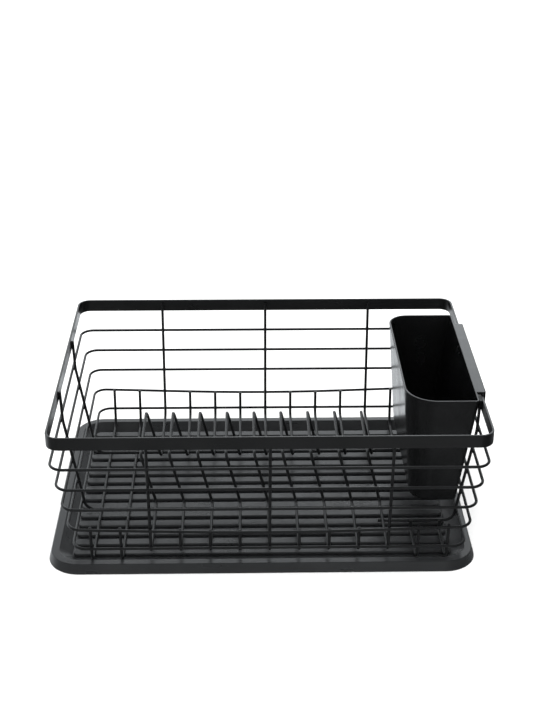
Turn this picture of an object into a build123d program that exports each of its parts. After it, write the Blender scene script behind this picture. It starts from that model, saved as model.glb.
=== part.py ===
from build123d import *
import os

# Dish drying rack: a welded wire basket with a flat steel rim stands in a ribbed drip tray,
# and a plastic cutlery holder hangs on the right side of the rim.
# Millimetres, +Z up. The origin is the centre of the tray's underside, X runs along the rack.

# Drip tray
tray_length = 451.0
tray_width = 313.0
tray_height = 10.6
tray_corner = 34.0
tray_flare = 3.0
tray_skin = 2.2
lip_width = 8.0
lip_round = 1.2
inner_slope = 13.5
floor_thickness = 2.5
rib_count = 15
rib_pitch = 17.6
rib_width = 11.6
rib_length = 400.0
rib_height = 3.5
rib_round = 1.6

# Basket rim: flat steel strip bent to a rounded rectangle
basket_shift = 7.5
rim_length = 445.0
rim_width = 328.0
rim_top = 168.0
rim_corner = 14.0
band_height = 14.0
band_thickness = 2.2
band_edge_round = 0.5

# Ring wires, and the lean of the walls that they follow
ring_wire_size = 3.0
ring_count = 5
ring_pitch = 25.5
first_ring_drop = 38.6
ring_corner = 14.0
sagging_ring = 4
sag_depth = 6.5
sag_radius = 3000.0
end_wall_upper_lean = 0.029
end_wall_lean = 0.165
front_wall_lean = 0.10

# Rods inside the rings: cross wires run front to back, the middle nine with a plate divider hoop
rod_size = 3.2
rod_end_drop = 4.0
weld_depth = 0.2
cross_count = 13
cross_pitch = 30.8
foot_wires_per_end = 2
tall_wire_step = 4
cross_bottom = 20.5
cross_bend = 7.0
foot_clearance = 0.3
foot_bend = 13.0
foot_tip_bend = 4.0
hoop_height = 60.0
hoop_lean = 15.0
hoop_front = -52.0
hoop_back = 46.0
hoop_foot_bend = 5.0
hoop_top_bend = 6.0

# Side wires run under the cross wires: the long pair goes up the left end, the short pair up the right end
side_wire_place = 60.0
end_wire_place = 87.0
side_wire_tail = 5.0
side_wire_bend = 12.0
side_wire_knee = 60.0

# Cutlery holder: a tapered box, well rounded on its inner side, with a hook over the rim
holder_top = 171.0
holder_bottom = 45.0
holder_wall = 2.2
holder_floor = 2.6
holder_top_left = 141.5
holder_top_right = 216.5
holder_bottom_left = 152.0
holder_bottom_right = 200.5
holder_centre = 5.0
holder_top_length = 210.0
holder_bottom_length = 192.0
holder_front_corner = 33.0
holder_back_corner = 22.0
holder_right_corner = 4.0
holder_low_corner_share = 0.6
holder_base_round = 3.0
holder_edge_round = 0.6
hook_length = 166.0
hook_centre = 3.0
hook_gap = 0.6
hook_rest_gap = 0.3
hook_skin = 2.6
hook_drop = 11.0
hook_corner = 2.2
slot_count = 6
slot_pitch = 26.0
slot_width = 3.6
slot_length = 26.0

# Derived places
rib_top = floor_thickness + rib_height
rod_radius = rod_size / 2
ring_radius = ring_wire_size / 2
rod_end = rim_top - rod_end_drop
first_ring = rim_top - first_ring_drop
ring_heights = [first_ring - index * ring_pitch for index in range(ring_count)]
ring_offset = ring_radius + rod_radius - weld_depth
foot_level = rib_top + foot_clearance + rod_radius
side_wire_level = cross_bottom - rod_size + weld_depth
middle_wire = (cross_count - 1) // 2
cross_wires = range(cross_count)
divider_wires = cross_wires[foot_wires_per_end:-foot_wires_per_end]
foot_wires = cross_wires[:foot_wires_per_end]
short_foot_wires = cross_wires[-foot_wires_per_end:]


def end_wall(height):
    """Distance from the basket's middle to a side wire's centre line, at a height."""
    at_rim = rim_length / 2 - band_thickness - rod_radius + weld_depth
    upper_drop = rod_end - max(height, first_ring)
    lower_drop = max(first_ring - height, 0)
    return at_rim - upper_drop * end_wall_upper_lean - lower_drop * end_wall_lean


def front_wall(height):
    """Distance from the basket's middle to a cross wire's centre line, at a height."""
    at_rim = rim_width / 2 - band_thickness - rod_radius + weld_depth
    return at_rim - (rod_end - height) * front_wall_lean


def bent_wire(points, bends, size, closed=False):
    """Round bar along straight runs that are joined by tangent bends."""
    with BuildPart() as wire:
        with BuildLine() as path:
            FilletPolyline(*points, radius=bends, close=closed)
        with BuildSketch(Plane(origin=path.wires()[0] @ 0, z_dir=path.wires()[0] % 0)):
            Circle(size / 2)
        sweep(path=path.wires()[0])
    return wire


def finish(piece, name):
    """Labels a piece and writes its file."""
    piece.part.label = name
    export_step(piece.part, f"parts/{name}.step")


def tray_body(lower, upper):
    """Solid between two rounded outlines, each a height and how far it lies inside the tray's base."""
    with BuildPart() as body:
        for height, inset in (lower, upper):
            with BuildSketch(Plane.XY.offset(height)):
                RectangleRounded(
                    tray_length - 2 * inset, tray_width - 2 * inset, tray_corner - inset
                )
        loft()
    return body.part


def make_drip_tray():
    """Moulded tray: a flared lip that is hollow underneath, a sloping inner wall and lengthwise ribs."""
    lip_inset = tray_flare + lip_width
    floor_inset = lip_inset + inner_slope
    hollow_top = tray_height - tray_skin
    hollow = tray_body((0, tray_skin), (hollow_top, tray_flare + tray_skin))
    hollow -= tray_body((0, floor_inset), (hollow_top, lip_inset - tray_skin / 2))
    outside = tray_body((0, 0), (tray_height, tray_flare))
    basin = tray_body((floor_thickness, floor_inset), (tray_height, lip_inset))
    with BuildPart() as tray:
        add(outside)
        add(basin, mode=Mode.SUBTRACT)
        fillet(tray.edges().group_by(Axis.Z)[-1], lip_round)
        add(hollow, mode=Mode.SUBTRACT)
        with BuildSketch(Plane.XY.offset(floor_thickness)):
            with GridLocations(0, rib_pitch, 1, rib_count):
                SlotOverall(rib_length, rib_width)
        extrude(amount=rib_height)
        rib_edges = tray.edges().filter_by(lambda edge: abs(edge.center().Z - rib_top) < tray_skin / 2)
        fillet(rib_edges.filter_by(Plane.XY), rib_round)
    return tray


def make_rim_band():
    """Flat strip on edge, bent into a closed rounded rectangle."""
    with BuildPart() as band:
        with BuildSketch(Plane.XY.offset(rim_top - band_height)):
            with Locations((basket_shift, 0)):
                RectangleRounded(rim_length, rim_width, rim_corner)
                RectangleRounded(
                    rim_length - 2 * band_thickness,
                    rim_width - 2 * band_thickness,
                    rim_corner - band_thickness,
                    mode=Mode.SUBTRACT,
                )
        extrude(amount=band_height)
        level_edges = band.edges().group_by(Axis.Z)
        fillet(level_edges[0] + level_edges[-1], band_edge_round)
    return band


def make_ring_wire(number):
    """Closed rounded rectangle of wire around the basket. One ring sags in the middle of its long runs."""
    height = ring_heights[number - 1]
    reach_x = end_wall(height) + ring_offset
    reach_y = front_wall(height) + ring_offset
    left = basket_shift - reach_x
    right = basket_shift + reach_x
    points = [
        (left, -reach_y, height),
        (right, -reach_y, height),
        (right, reach_y, height),
        (left, reach_y, height),
    ]
    bends = [ring_corner] * len(points)
    if number == sagging_ring:
        lowest = height - sag_depth
        reach_low = front_wall(lowest) + ring_offset
        points.insert(3, (basket_shift, reach_low, lowest))
        points.insert(1, (basket_shift, -reach_low, lowest))
        bends = [ring_corner, sag_radius, ring_corner, ring_corner, sag_radius, ring_corner]
    return bent_wire(points, bends, ring_wire_size, closed=True)


def short_wire_end(x):
    """Height at which a short cross wire ends, on the sagging ring's long runs."""
    height = ring_heights[sagging_ring - 1]
    half_run = end_wall(height) + ring_offset
    from_middle = abs(x - basket_shift)
    slope = sag_depth / half_run
    if from_middle > sag_radius * slope:
        drop = slope * (half_run - from_middle)
    else:
        drop = sag_depth - sag_radius * slope**2 / 2 - from_middle**2 / (2 * sag_radius)
    return height + ring_radius - drop


def cross_wire_place(index):
    """X of a cross wire, counted from the left."""
    return basket_shift + (index - middle_wire) * cross_pitch


def make_foot_wire(index):
    """Cross wire at the left end: a low straight run that stands on the tray's ribs."""
    x = cross_wire_place(index)
    end_height = short_wire_end(x)
    reach = front_wall(end_height)
    foot = front_wall(foot_level)
    points = [
        (x, -reach, end_height),
        (x, -foot, foot_level),
        (x, foot, foot_level),
        (x, reach, end_height),
    ]
    return bent_wire(points, foot_bend, rod_size)


def make_short_foot_wire(index, side):
    """Foot at the right end: down a long wall, inward over the ribs, and up beside the end wire."""
    x = cross_wire_place(index)
    end_height = short_wire_end(x)
    tip = end_wire_place + rod_size - weld_depth
    points = [
        (x, side * front_wall(end_height), end_height),
        (x, side * front_wall(foot_level), foot_level),
        (x, side * tip, foot_level),
        (x, side * tip, side_wire_level + rod_radius),
    ]
    return bent_wire(points, [foot_bend, foot_tip_bend], rod_size)


def make_divider_wire(index):
    """Middle cross wire: up both walls, and a leaning hoop that holds the plates apart."""
    x = cross_wire_place(index)
    is_tall = (index - middle_wire) % tall_wire_step == 0
    end_height = rod_end if is_tall else short_wire_end(x)
    reach = front_wall(end_height)
    corner = front_wall(cross_bottom)
    hoop_x = x - hoop_lean
    hoop_top = cross_bottom + hoop_height
    points = [
        (x, -reach, end_height),
        (x, -corner, cross_bottom),
        (x, hoop_front, cross_bottom),
        (hoop_x, hoop_front, hoop_top),
        (hoop_x, hoop_back, hoop_top),
        (x, hoop_back, cross_bottom),
        (x, corner, cross_bottom),
        (x, reach, end_height),
    ]
    bends = [cross_bend, hoop_foot_bend, hoop_top_bend, hoop_top_bend, hoop_foot_bend, cross_bend]
    return bent_wire(points, bends, rod_size)


def make_side_wire(y, side):
    """Wire from the rim down one end of the basket, and along under the cross wires to the last divider."""
    levels = [rod_end, first_ring, side_wire_level]
    points = [(basket_shift + side * end_wall(height), y, height) for height in levels]
    tail = cross_wire_place(divider_wires[-1]) - side * side_wire_tail
    points.append((tail, y, side_wire_level))
    return bent_wire(points, [side_wire_knee, side_wire_bend], rod_size)


def holder_outline(height, inset):
    """Plan of the holder's outer face at a height, or of a face that lies inside it."""
    share = (height - holder_bottom) / (holder_top - holder_bottom)
    left = holder_bottom_left + (holder_top_left - holder_bottom_left) * share + inset
    right = holder_bottom_right + (holder_top_right - holder_bottom_right) * share - inset
    half = (holder_bottom_length + (holder_top_length - holder_bottom_length) * share) / 2 - inset
    corner_share = holder_low_corner_share + (1 - holder_low_corner_share) * share
    front_corner = holder_front_corner * corner_share - inset
    back_corner = holder_back_corner * corner_share - inset
    right_corner = holder_right_corner - inset
    with BuildSketch(Plane.XY.offset(height)) as outline:
        with BuildLine(Plane.XY.offset(height)):
            FilletPolyline(
                (basket_shift + left, holder_centre - half),
                (basket_shift + right, holder_centre - half),
                (basket_shift + right, holder_centre + half),
                (basket_shift + left, holder_centre + half),
                radius=[front_corner, right_corner, right_corner, back_corner],
                close=True,
            )
        make_face()
    return outline


def make_cutlery_holder():
    """Open box that narrows downwards, with drain slots and a hook over the rim band."""
    rim_outer = basket_shift + rim_length / 2
    hook_under = rim_top + hook_rest_gap
    hook_out = rim_outer + hook_gap
    hook_in = basket_shift + holder_top_right - holder_wall
    floor_middle = basket_shift + (holder_bottom_left + holder_bottom_right) / 2
    outer_low = holder_outline(holder_bottom, 0)
    outer_high = holder_outline(holder_top, 0)
    inner_low = holder_outline(holder_bottom + holder_floor, holder_wall)
    inner_high = holder_outline(holder_top, holder_wall)
    with BuildPart() as holder:
        add(outer_low.sketch)
        add(outer_high.sketch)
        loft()
        fillet(holder.edges().group_by(Axis.Z)[0], holder_base_round)
        with BuildSketch(Plane.XZ.offset(-hook_centre)):
            with BuildLine():
                Polyline(
                    (hook_in, hook_under),
                    (hook_out, hook_under),
                    (hook_out, holder_top - hook_drop),
                    (hook_out + hook_skin, holder_top - hook_drop),
                    (hook_out + hook_skin, holder_top),
                    (hook_in, holder_top),
                    close=True,
                )
            make_face()
        extrude(amount=hook_length / 2, both=True)
        fillet(holder.edges().filter_by(Axis.Z).sort_by(Axis.X)[-2:], hook_corner)
        add(inner_low.sketch)
        add(inner_high.sketch)
        loft(mode=Mode.SUBTRACT)
        fillet(holder.edges().group_by(Axis.Z)[-1], holder_edge_round)
        with BuildSketch(Plane.XY.offset(holder_bottom)):
            with Locations((floor_middle, holder_centre)):
                with GridLocations(0, slot_pitch, 1, slot_count):
                    SlotOverall(slot_length, slot_width)
        extrude(amount=holder_floor, mode=Mode.SUBTRACT)
    return holder


os.makedirs("parts", exist_ok=True)
finish(make_drip_tray(), "drip_tray")
finish(make_rim_band(), "rim_band")
for number in range(1, ring_count + 1):
    finish(make_ring_wire(number), f"ring_wire_{number}")
for number, index in enumerate(divider_wires, start=1):
    finish(make_divider_wire(index), f"divider_wire_{number}")
for number, index in enumerate(foot_wires, start=1):
    finish(make_foot_wire(index), f"foot_wire_{number}")
for number, index in enumerate(short_foot_wires, start=1):
    finish(make_short_foot_wire(index, -1), f"front_short_foot_{number}")
    finish(make_short_foot_wire(index, 1), f"back_short_foot_{number}")
finish(make_side_wire(-side_wire_place, -1), "front_side_wire")
finish(make_side_wire(side_wire_place, -1), "back_side_wire")
finish(make_side_wire(-end_wire_place, 1), "front_end_wire")
finish(make_side_wire(end_wire_place, 1), "back_end_wire")
finish(make_cutlery_holder(), "cutlery_holder")
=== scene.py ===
import math

import bmesh
import bpy
from mathutils import Matrix, Vector, noise


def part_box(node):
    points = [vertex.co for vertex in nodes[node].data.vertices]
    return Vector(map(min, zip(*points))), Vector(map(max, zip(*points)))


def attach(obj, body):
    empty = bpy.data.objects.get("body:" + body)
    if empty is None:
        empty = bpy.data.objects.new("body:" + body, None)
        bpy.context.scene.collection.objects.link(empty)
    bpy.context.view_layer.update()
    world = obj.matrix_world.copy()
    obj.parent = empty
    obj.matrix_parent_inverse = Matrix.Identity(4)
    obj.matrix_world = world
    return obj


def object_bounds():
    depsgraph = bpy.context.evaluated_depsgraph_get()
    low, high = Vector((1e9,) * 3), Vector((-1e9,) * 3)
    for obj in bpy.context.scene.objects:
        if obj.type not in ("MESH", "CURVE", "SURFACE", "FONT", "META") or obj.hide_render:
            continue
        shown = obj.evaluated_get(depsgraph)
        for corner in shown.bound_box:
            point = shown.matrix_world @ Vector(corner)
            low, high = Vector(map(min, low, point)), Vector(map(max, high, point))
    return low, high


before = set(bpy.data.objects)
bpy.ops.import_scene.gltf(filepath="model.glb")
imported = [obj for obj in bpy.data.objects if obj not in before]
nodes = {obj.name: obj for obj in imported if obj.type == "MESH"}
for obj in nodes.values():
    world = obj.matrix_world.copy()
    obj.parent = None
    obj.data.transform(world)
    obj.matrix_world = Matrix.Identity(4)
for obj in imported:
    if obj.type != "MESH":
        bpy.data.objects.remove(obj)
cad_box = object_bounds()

# Sizes that repeat the rack's own, in metres
ring_radius = 0.0015
rod_radius = 0.0016
band_thickness = 0.0022

# Inward lean of the long walls, and the depth at which the sagging ring's two slopes would meet if its middle
# weren't rounded, as a share of its rounded sag
wall_lean = 0.1
sharp_sag = 1.29

ring_names = sorted(name for name in nodes if name.startswith("ring_wire"))
divider_names = sorted(name for name in nodes if name.startswith("divider_wire"))
foot_names = sorted(name for name in nodes if name.startswith("foot_wire"))
front_short_feet = sorted(name for name in nodes if name.startswith("front_short_foot"))
back_short_feet = sorted(name for name in nodes if name.startswith("back_short_foot"))
side_names = ["front_side_wire", "back_side_wire"]
end_names = ["front_end_wire", "back_end_wire"]
last_divider = divider_names[-1:]
short_wire_rings = ring_names[3:]
wire_names = ring_names + divider_names + foot_names + front_short_feet + back_short_feet
wire_names += side_names + end_names


# Materials

def add_node(tree, kind, **inputs):
    """New shader node with its inputs set by name: a node's output is linked, and a value is stored."""
    node = tree.nodes.new(kind)
    for name, value in inputs.items():
        socket = node.inputs[name.replace("_", " ")]
        if isinstance(value, bpy.types.NodeSocket):
            tree.links.new(value, socket)
        else:
            socket.default_value = value
    return node


def noise_value(tree, place, scale, detail=2.0, stretch=(1, 1, 1)):
    """Noise from 0 to 1 in object space, with lumps about 1/scale metres wide."""
    mapping = add_node(tree, "ShaderNodeMapping", Vector=place, Scale=stretch)
    texture = add_node(
        tree, "ShaderNodeTexNoise", Vector=mapping.outputs["Vector"], Scale=scale, Detail=detail
    )
    return texture.outputs["Fac"]


def between(tree, value, low, high, out_low, out_high):
    """Value carried from low..high to out_low..out_high, held at both ends."""
    node = add_node(
        tree,
        "ShaderNodeMapRange",
        Value=value,
        From_Min=low,
        From_Max=high,
        To_Min=out_low,
        To_Max=out_high,
    )
    return node.outputs["Result"]


def blend_colours(tree, share, low, high):
    """Colour that goes from low to high with a share from 0 to 1."""
    node = tree.nodes.new("ShaderNodeMix")
    node.data_type = "RGBA"
    tree.links.new(share, node.inputs["Factor"])
    colour_inputs = [socket for socket in node.inputs if socket.type == "RGBA"]
    colour_inputs[0].default_value = low
    colour_inputs[1].default_value = high
    return [socket for socket in node.outputs if socket.type == "RGBA"][0]


def grey(value, blue=1.0):
    """Near-neutral colour, with its blue part raised or lowered."""
    return (value, value * (1 + blue) / 2, value * blue, 1)


# Clouds and streaks are in lumps per metre, and the grain is a finer, shallower copy of the skin relief
cloud_scale = 18
streak_scale = 160
streak_stretch = (0.12, 1, 0.6)
streak_gloss = 0.07
grain_fineness = 5
grain_shallowness = 6
blue_tint = 1.12


def coated_surface(name, dark, light, rough, peel_size, peel_depth, specular):
    """Dark finish: cloudy tone and gloss, a fine skin relief and faint rubbed streaks."""
    material = bpy.data.materials.new(name)
    material.use_nodes = True
    tree = material.node_tree
    shader = tree.nodes["Principled BSDF"]
    place = tree.nodes.new("ShaderNodeTexCoord").outputs["Object"]
    clouds = noise_value(tree, place, cloud_scale, 4)
    peel = noise_value(tree, place, 1 / peel_size, 3)
    grain = noise_value(tree, place, grain_fineness / peel_size, 2)
    streaks = noise_value(tree, place, streak_scale, 5, streak_stretch)

    share = between(tree, clouds, 0.35, 0.65, 0, 1)
    tone = blend_colours(tree, share, grey(dark, blue_tint), grey(light, blue_tint))
    tree.links.new(tone, shader.inputs["Base Color"])

    low, high = rough
    cloudy = between(tree, clouds, 0.3, 0.7, low, high)
    rubbed = between(tree, streaks, 0.56, 0.75, 0, -streak_gloss)
    roughness = tree.nodes.new("ShaderNodeMath")
    roughness.operation = "ADD"
    tree.links.new(cloudy, roughness.inputs[0])
    tree.links.new(rubbed, roughness.inputs[1])
    tree.links.new(roughness.outputs[0], shader.inputs["Roughness"])

    skin = add_node(tree, "ShaderNodeBump", Height=peel, Strength=1.0, Distance=peel_depth)
    fine = add_node(
        tree,
        "ShaderNodeBump",
        Height=grain,
        Strength=1.0,
        Distance=peel_depth / grain_shallowness,
        Normal=skin.outputs["Normal"],
    )
    tree.links.new(fine.outputs["Normal"], shader.inputs["Normal"])
    shader.inputs["Specular IOR Level"].default_value = specular
    return material


# Dark and light tone, least and most roughness, size and depth of the skin relief, and specular level
wire_coat = coated_surface("coated_wire", 0.006, 0.009, (0.28, 0.36), 0.0011, 0.00002, 0.42)
band_coat = coated_surface("coated_band", 0.0035, 0.0055, (0.28, 0.36), 0.0011, 0.00002, 0.80)
tray_skin = coated_surface("tray_plastic", 0.014, 0.019, (0.27, 0.35), 0.0007, 0.000012, 0.50)
holder_skin = coated_surface("holder_plastic", 0.0035, 0.0055, (0.22, 0.28), 0.0009, 0.000008, 0.55)


def paint(name, material):
    """Gives a CAD node one material."""
    slots = nodes[name].material_slots
    for slot in slots:
        slot.material = material
    if not slots:
        nodes[name].data.materials.append(material)


paint("drip_tray", tray_skin)
paint("cutlery_holder", holder_skin)
paint("rim_band", band_coat)
for wire_name in wire_names:
    paint(wire_name, wire_coat)


# Spot welds: the coated squeeze-out where two wires cross, or where a wire's end meets the band

weld_reach = 0.0019
weld_rise = 0.0008
weld_unevenness = 0.16


def middle(name):
    """Centre of a CAD node's box."""
    low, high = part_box(name)
    return (low + high) / 2


def rod_x(name):
    """X of a cross wire where it crosses the walls: the divider hoops lean away to its left."""
    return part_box(name)[1].x - rod_radius


def ring_drop(ring, x):
    """How far a ring's long runs hang below its ends at an X, and how far that takes them inward."""
    low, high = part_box(ring)
    sag = high.z - low.z - 2 * ring_radius
    from_middle = abs(x - middle(ring).x) / ((high.x - low.x) / 2)
    drop = min(sag, sharp_sag * sag * (1 - from_middle))
    return drop, wall_lean * drop


def ring_crossings(ring, wires_across):
    """Contact points of a ring with cross wires on both long walls, and with the wires up both ends."""
    low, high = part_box(ring)
    height = high.z - ring_radius
    inner = 2 * ring_radius
    points = []
    for wire in wires_across:
        x = rod_x(wire)
        drop, lean = ring_drop(ring, x)
        points.append((Vector((x, low.y + inner + lean, height - drop)), Vector((0, 1, 0))))
        points.append((Vector((x, high.y - inner - lean, height - drop)), Vector((0, 1, 0))))
    for wire in side_names:
        points.append((Vector((low.x + inner, middle(wire).y, height)), Vector((1, 0, 0))))
    for wire in end_names:
        points.append((Vector((high.x - inner, middle(wire).y, height)), Vector((1, 0, 0))))
    return points


def rim_contacts(wires_across):
    """Places near the top of a wire where it lies against the band's inner face."""
    low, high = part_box("rim_band")
    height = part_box(side_names[0])[1].z - 2 * weld_reach
    points = []
    for wire in wires_across:
        points.append((Vector((rod_x(wire), low.y + band_thickness, height)), Vector((0, 1, 0))))
        points.append((Vector((rod_x(wire), high.y - band_thickness, height)), Vector((0, 1, 0))))
    for wire in side_names:
        points.append((Vector((low.x + band_thickness, middle(wire).y, height)), Vector((1, 0, 0))))
    for wire in end_names:
        points.append((Vector((high.x - band_thickness, middle(wire).y, height)), Vector((1, 0, 0))))
    return points


def floor_crossings(wires_along, wires_across):
    """Contact points of the side wires with the cross wires that lie on them."""
    points = []
    for along in wires_along:
        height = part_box(along)[0].z + 2 * rod_radius
        for across in wires_across:
            points.append((Vector((rod_x(across), middle(along).y, height)), Vector((0, 0, 1))))
    return points


def foot_contacts():
    """Contact points of the short feet's tips with the end wires that they stand beside."""
    points = []
    for end, feet, side in ((end_names[0], front_short_feet, -1), (end_names[1], back_short_feet, 1)):
        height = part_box(end)[0].z + rod_radius
        for foot in feet:
            place = Vector((rod_x(foot), middle(end).y + side * rod_radius, height))
            points.append((place, Vector((0, 1, 0))))
    return points


def make_welds(points):
    """One flattened, slightly uneven bead for each contact, square to the direction between the wires."""
    mesh = bmesh.new()
    for number, (place, direction) in enumerate(points):
        turn = direction.to_track_quat("Z", "Y").to_matrix().to_4x4()
        bead = bmesh.ops.create_icosphere(mesh, subdivisions=3, radius=1.0)["verts"]
        for vertex in bead:
            lump = noise.noise(vertex.co * 1.3 + Vector((number * 3.7, 0, 0)))
            vertex.co = vertex.co * (1 + weld_unevenness * lump)
        shape = Matrix.Translation(place) @ turn @ Matrix.Diagonal((weld_reach, weld_reach, weld_rise, 1))
        bmesh.ops.transform(mesh, matrix=shape, verts=bead)
    data = bpy.data.meshes.new("weld_beads")
    mesh.to_mesh(data)
    mesh.free()
    data.polygons.foreach_set("use_smooth", [True] * len(data.polygons))
    data.materials.append(wire_coat)
    welds = bpy.data.objects.new("weld_beads", data)
    bpy.context.scene.collection.objects.link(welds)
    return welds


tall_names = [name for name in divider_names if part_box(name)[1].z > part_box(ring_names[0])[1].z]
contacts = rim_contacts(tall_names) + foot_contacts()
contacts += floor_crossings(side_names, divider_names) + floor_crossings(end_names, last_divider)
for ring_name in ring_names:
    across = divider_names + foot_names + front_short_feet if ring_name in short_wire_rings else tall_names
    contacts += ring_crossings(ring_name, across)
welds = make_welds(contacts)
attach(welds, "basket")


# Floor

floor_reach = 9.0


def make_floor():
    """Wide pale floor under the tray."""
    level = cad_box[0][2]
    data = bpy.data.meshes.new("floor")
    corners = [(x * floor_reach, y * floor_reach, level) for x, y in ((-1, -1), (1, -1), (1, 1), (-1, 1))]
    data.from_pydata(corners, [], [(0, 1, 2, 3)])
    material = bpy.data.materials.new("floor")
    material.use_nodes = True
    tree = material.node_tree
    shader = tree.nodes["Principled BSDF"]
    place = tree.nodes.new("ShaderNodeTexCoord").outputs["Object"]
    clouds = noise_value(tree, place, 3, 3)
    tone = blend_colours(tree, clouds, grey(0.93), grey(0.95))
    tree.links.new(tone, shader.inputs["Base Color"])
    shader.inputs["Roughness"].default_value = 0.9
    shader.inputs["Specular IOR Level"].default_value = 0.1
    data.materials.append(material)
    floor = bpy.data.objects.new("floor", data)
    bpy.context.scene.collection.objects.link(floor)
    floor.visible_glossy = False
    return floor


make_floor()


# Light: an even white dome for the soft light, and a studio that the glossy finishes mirror

# Levels of the mirrored studio behind and in front of the rack, and of the dome
brightest = 3.4
front_level = 0.45
dome_level = 1.6


def light_studio():
    """White backdrop and dome, and a mirrored studio that is bright behind the rack and dim in front."""
    # Sine of the elevation, and the mirrored level there as a share of the brightest
    bands = [
        (-1.0, 0.37), (0.0, 0.57), (0.42, 0.68), (0.44, 1.0), (0.475, 1.0), (0.488, 0.07), (0.497, 0.10),
        (0.506, 0.50), (0.53, 0.27), (0.56, 0.26), (0.60, 0.53), (0.80, 0.36), (0.92, 0.075),
    ]
    world = bpy.data.worlds.new("studio")
    world.use_nodes = True
    world.cycles.sampling_method = "NONE"
    tree = world.node_tree
    direction = tree.nodes.new("ShaderNodeTexCoord").outputs["Generated"]
    parts = add_node(tree, "ShaderNodeSeparateXYZ", Vector=direction).outputs
    ramp = add_node(tree, "ShaderNodeValToRGB", Fac=between(tree, parts["Z"], -1, 1, 0, 1))
    ramp.color_ramp.interpolation = "EASE"
    while len(ramp.color_ramp.elements) < len(bands):
        ramp.color_ramp.elements.new(1.0)
    for element, (height, level) in zip(ramp.color_ramp.elements, bands):
        element.position = (height + 1) / 2
        element.color = (level, level, level, 1)
    behind = between(tree, parts["Y"], -0.15, 0.45, front_level, brightest)
    left_fade = between(tree, parts["X"], -0.16, 0.02, 0.55, 1.0)
    right_gap = between(tree, parts["X"], 0.20, 0.34, 1.0, 0.12)
    strength = ramp.outputs["Color"]
    for share in (behind, left_fade, right_gap):
        product = tree.nodes.new("ShaderNodeMath")
        product.operation = "MULTIPLY"
        tree.links.new(strength, product.inputs[0])
        tree.links.new(share, product.inputs[1])
        strength = product.outputs[0]
    mirrored = add_node(tree, "ShaderNodeBackground", Color=(0.93, 0.97, 1.0, 1), Strength=strength)
    dome = add_node(tree, "ShaderNodeBackground", Color=(1, 1, 1, 1), Strength=dome_level)
    backdrop = add_node(tree, "ShaderNodeBackground", Color=(1, 1, 1, 1), Strength=1.0)
    path = tree.nodes.new("ShaderNodeLightPath").outputs
    soft = tree.nodes.new("ShaderNodeMixShader")
    tree.links.new(path["Is Diffuse Ray"], soft.inputs[0])
    tree.links.new(mirrored.outputs[0], soft.inputs[1])
    tree.links.new(dome.outputs[0], soft.inputs[2])
    whole = tree.nodes.new("ShaderNodeMixShader")
    tree.links.new(path["Is Camera Ray"], whole.inputs[0])
    tree.links.new(soft.outputs[0], whole.inputs[1])
    tree.links.new(backdrop.outputs[0], whole.inputs[2])
    tree.links.new(whole.outputs[0], tree.nodes["World Output"].inputs["Surface"])
    bpy.context.scene.world = world


def add_softbox(name, place, aim, size, watts):
    """Large soft lamp that faces a point and isn't mirrored: place and size in metres."""
    lamp = bpy.data.lights.new(name, "AREA")
    lamp.shape = "RECTANGLE"
    lamp.size, lamp.size_y = size
    lamp.energy = watts
    light = bpy.data.objects.new(name, lamp)
    light.location = place
    light.rotation_euler = (Vector(aim) - Vector(place)).to_track_quat("-Z", "Y").to_euler()
    light.visible_glossy = False
    bpy.context.scene.collection.objects.link(light)


rack_middle = (Vector(cad_box[0]) + Vector(cad_box[1])) / 2
light_studio()
add_softbox("top_light", (0, 0.2, 2.4), rack_middle, (2.4, 2.0), 14)


# Camera: aimed near the middle of the rim's top, tipped down and turned a little

camera_distance = 1.4495
camera_pitch = math.radians(27.0)
camera_yaw = math.radians(1.17)
camera_roll = math.radians(0.17)
aim_offset = Vector((0.0027, 0, 0.0013))

rim_low, rim_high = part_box("rim_band")
rim_middle = Vector(((rim_low.x + rim_high.x) / 2, (rim_low.y + rim_high.y) / 2, rim_high.z))
view = Vector((
    math.sin(camera_yaw) * math.cos(camera_pitch),
    math.cos(camera_yaw) * math.cos(camera_pitch),
    -math.sin(camera_pitch),
))
right = Vector((math.cos(camera_yaw), -math.sin(camera_yaw), 0))
turned = Matrix.Rotation(-camera_roll, 3, view)
right = turned @ right
up = right.cross(view)
camera_data = bpy.data.cameras.new("camera")
camera_data.sensor_fit = "HORIZONTAL"
camera_data.sensor_width = 36
camera_data.lens = 88.73
camera = bpy.data.objects.new("camera", camera_data)
place = rim_middle + aim_offset - view * camera_distance
axes = Matrix((right, up, -view)).transposed()
camera.matrix_world = Matrix.Translation(place) @ axes.to_4x4()
bpy.context.scene.collection.objects.link(camera)
bpy.context.scene.camera = camera
bpy.context.scene.view_settings.view_transform = "Standard"
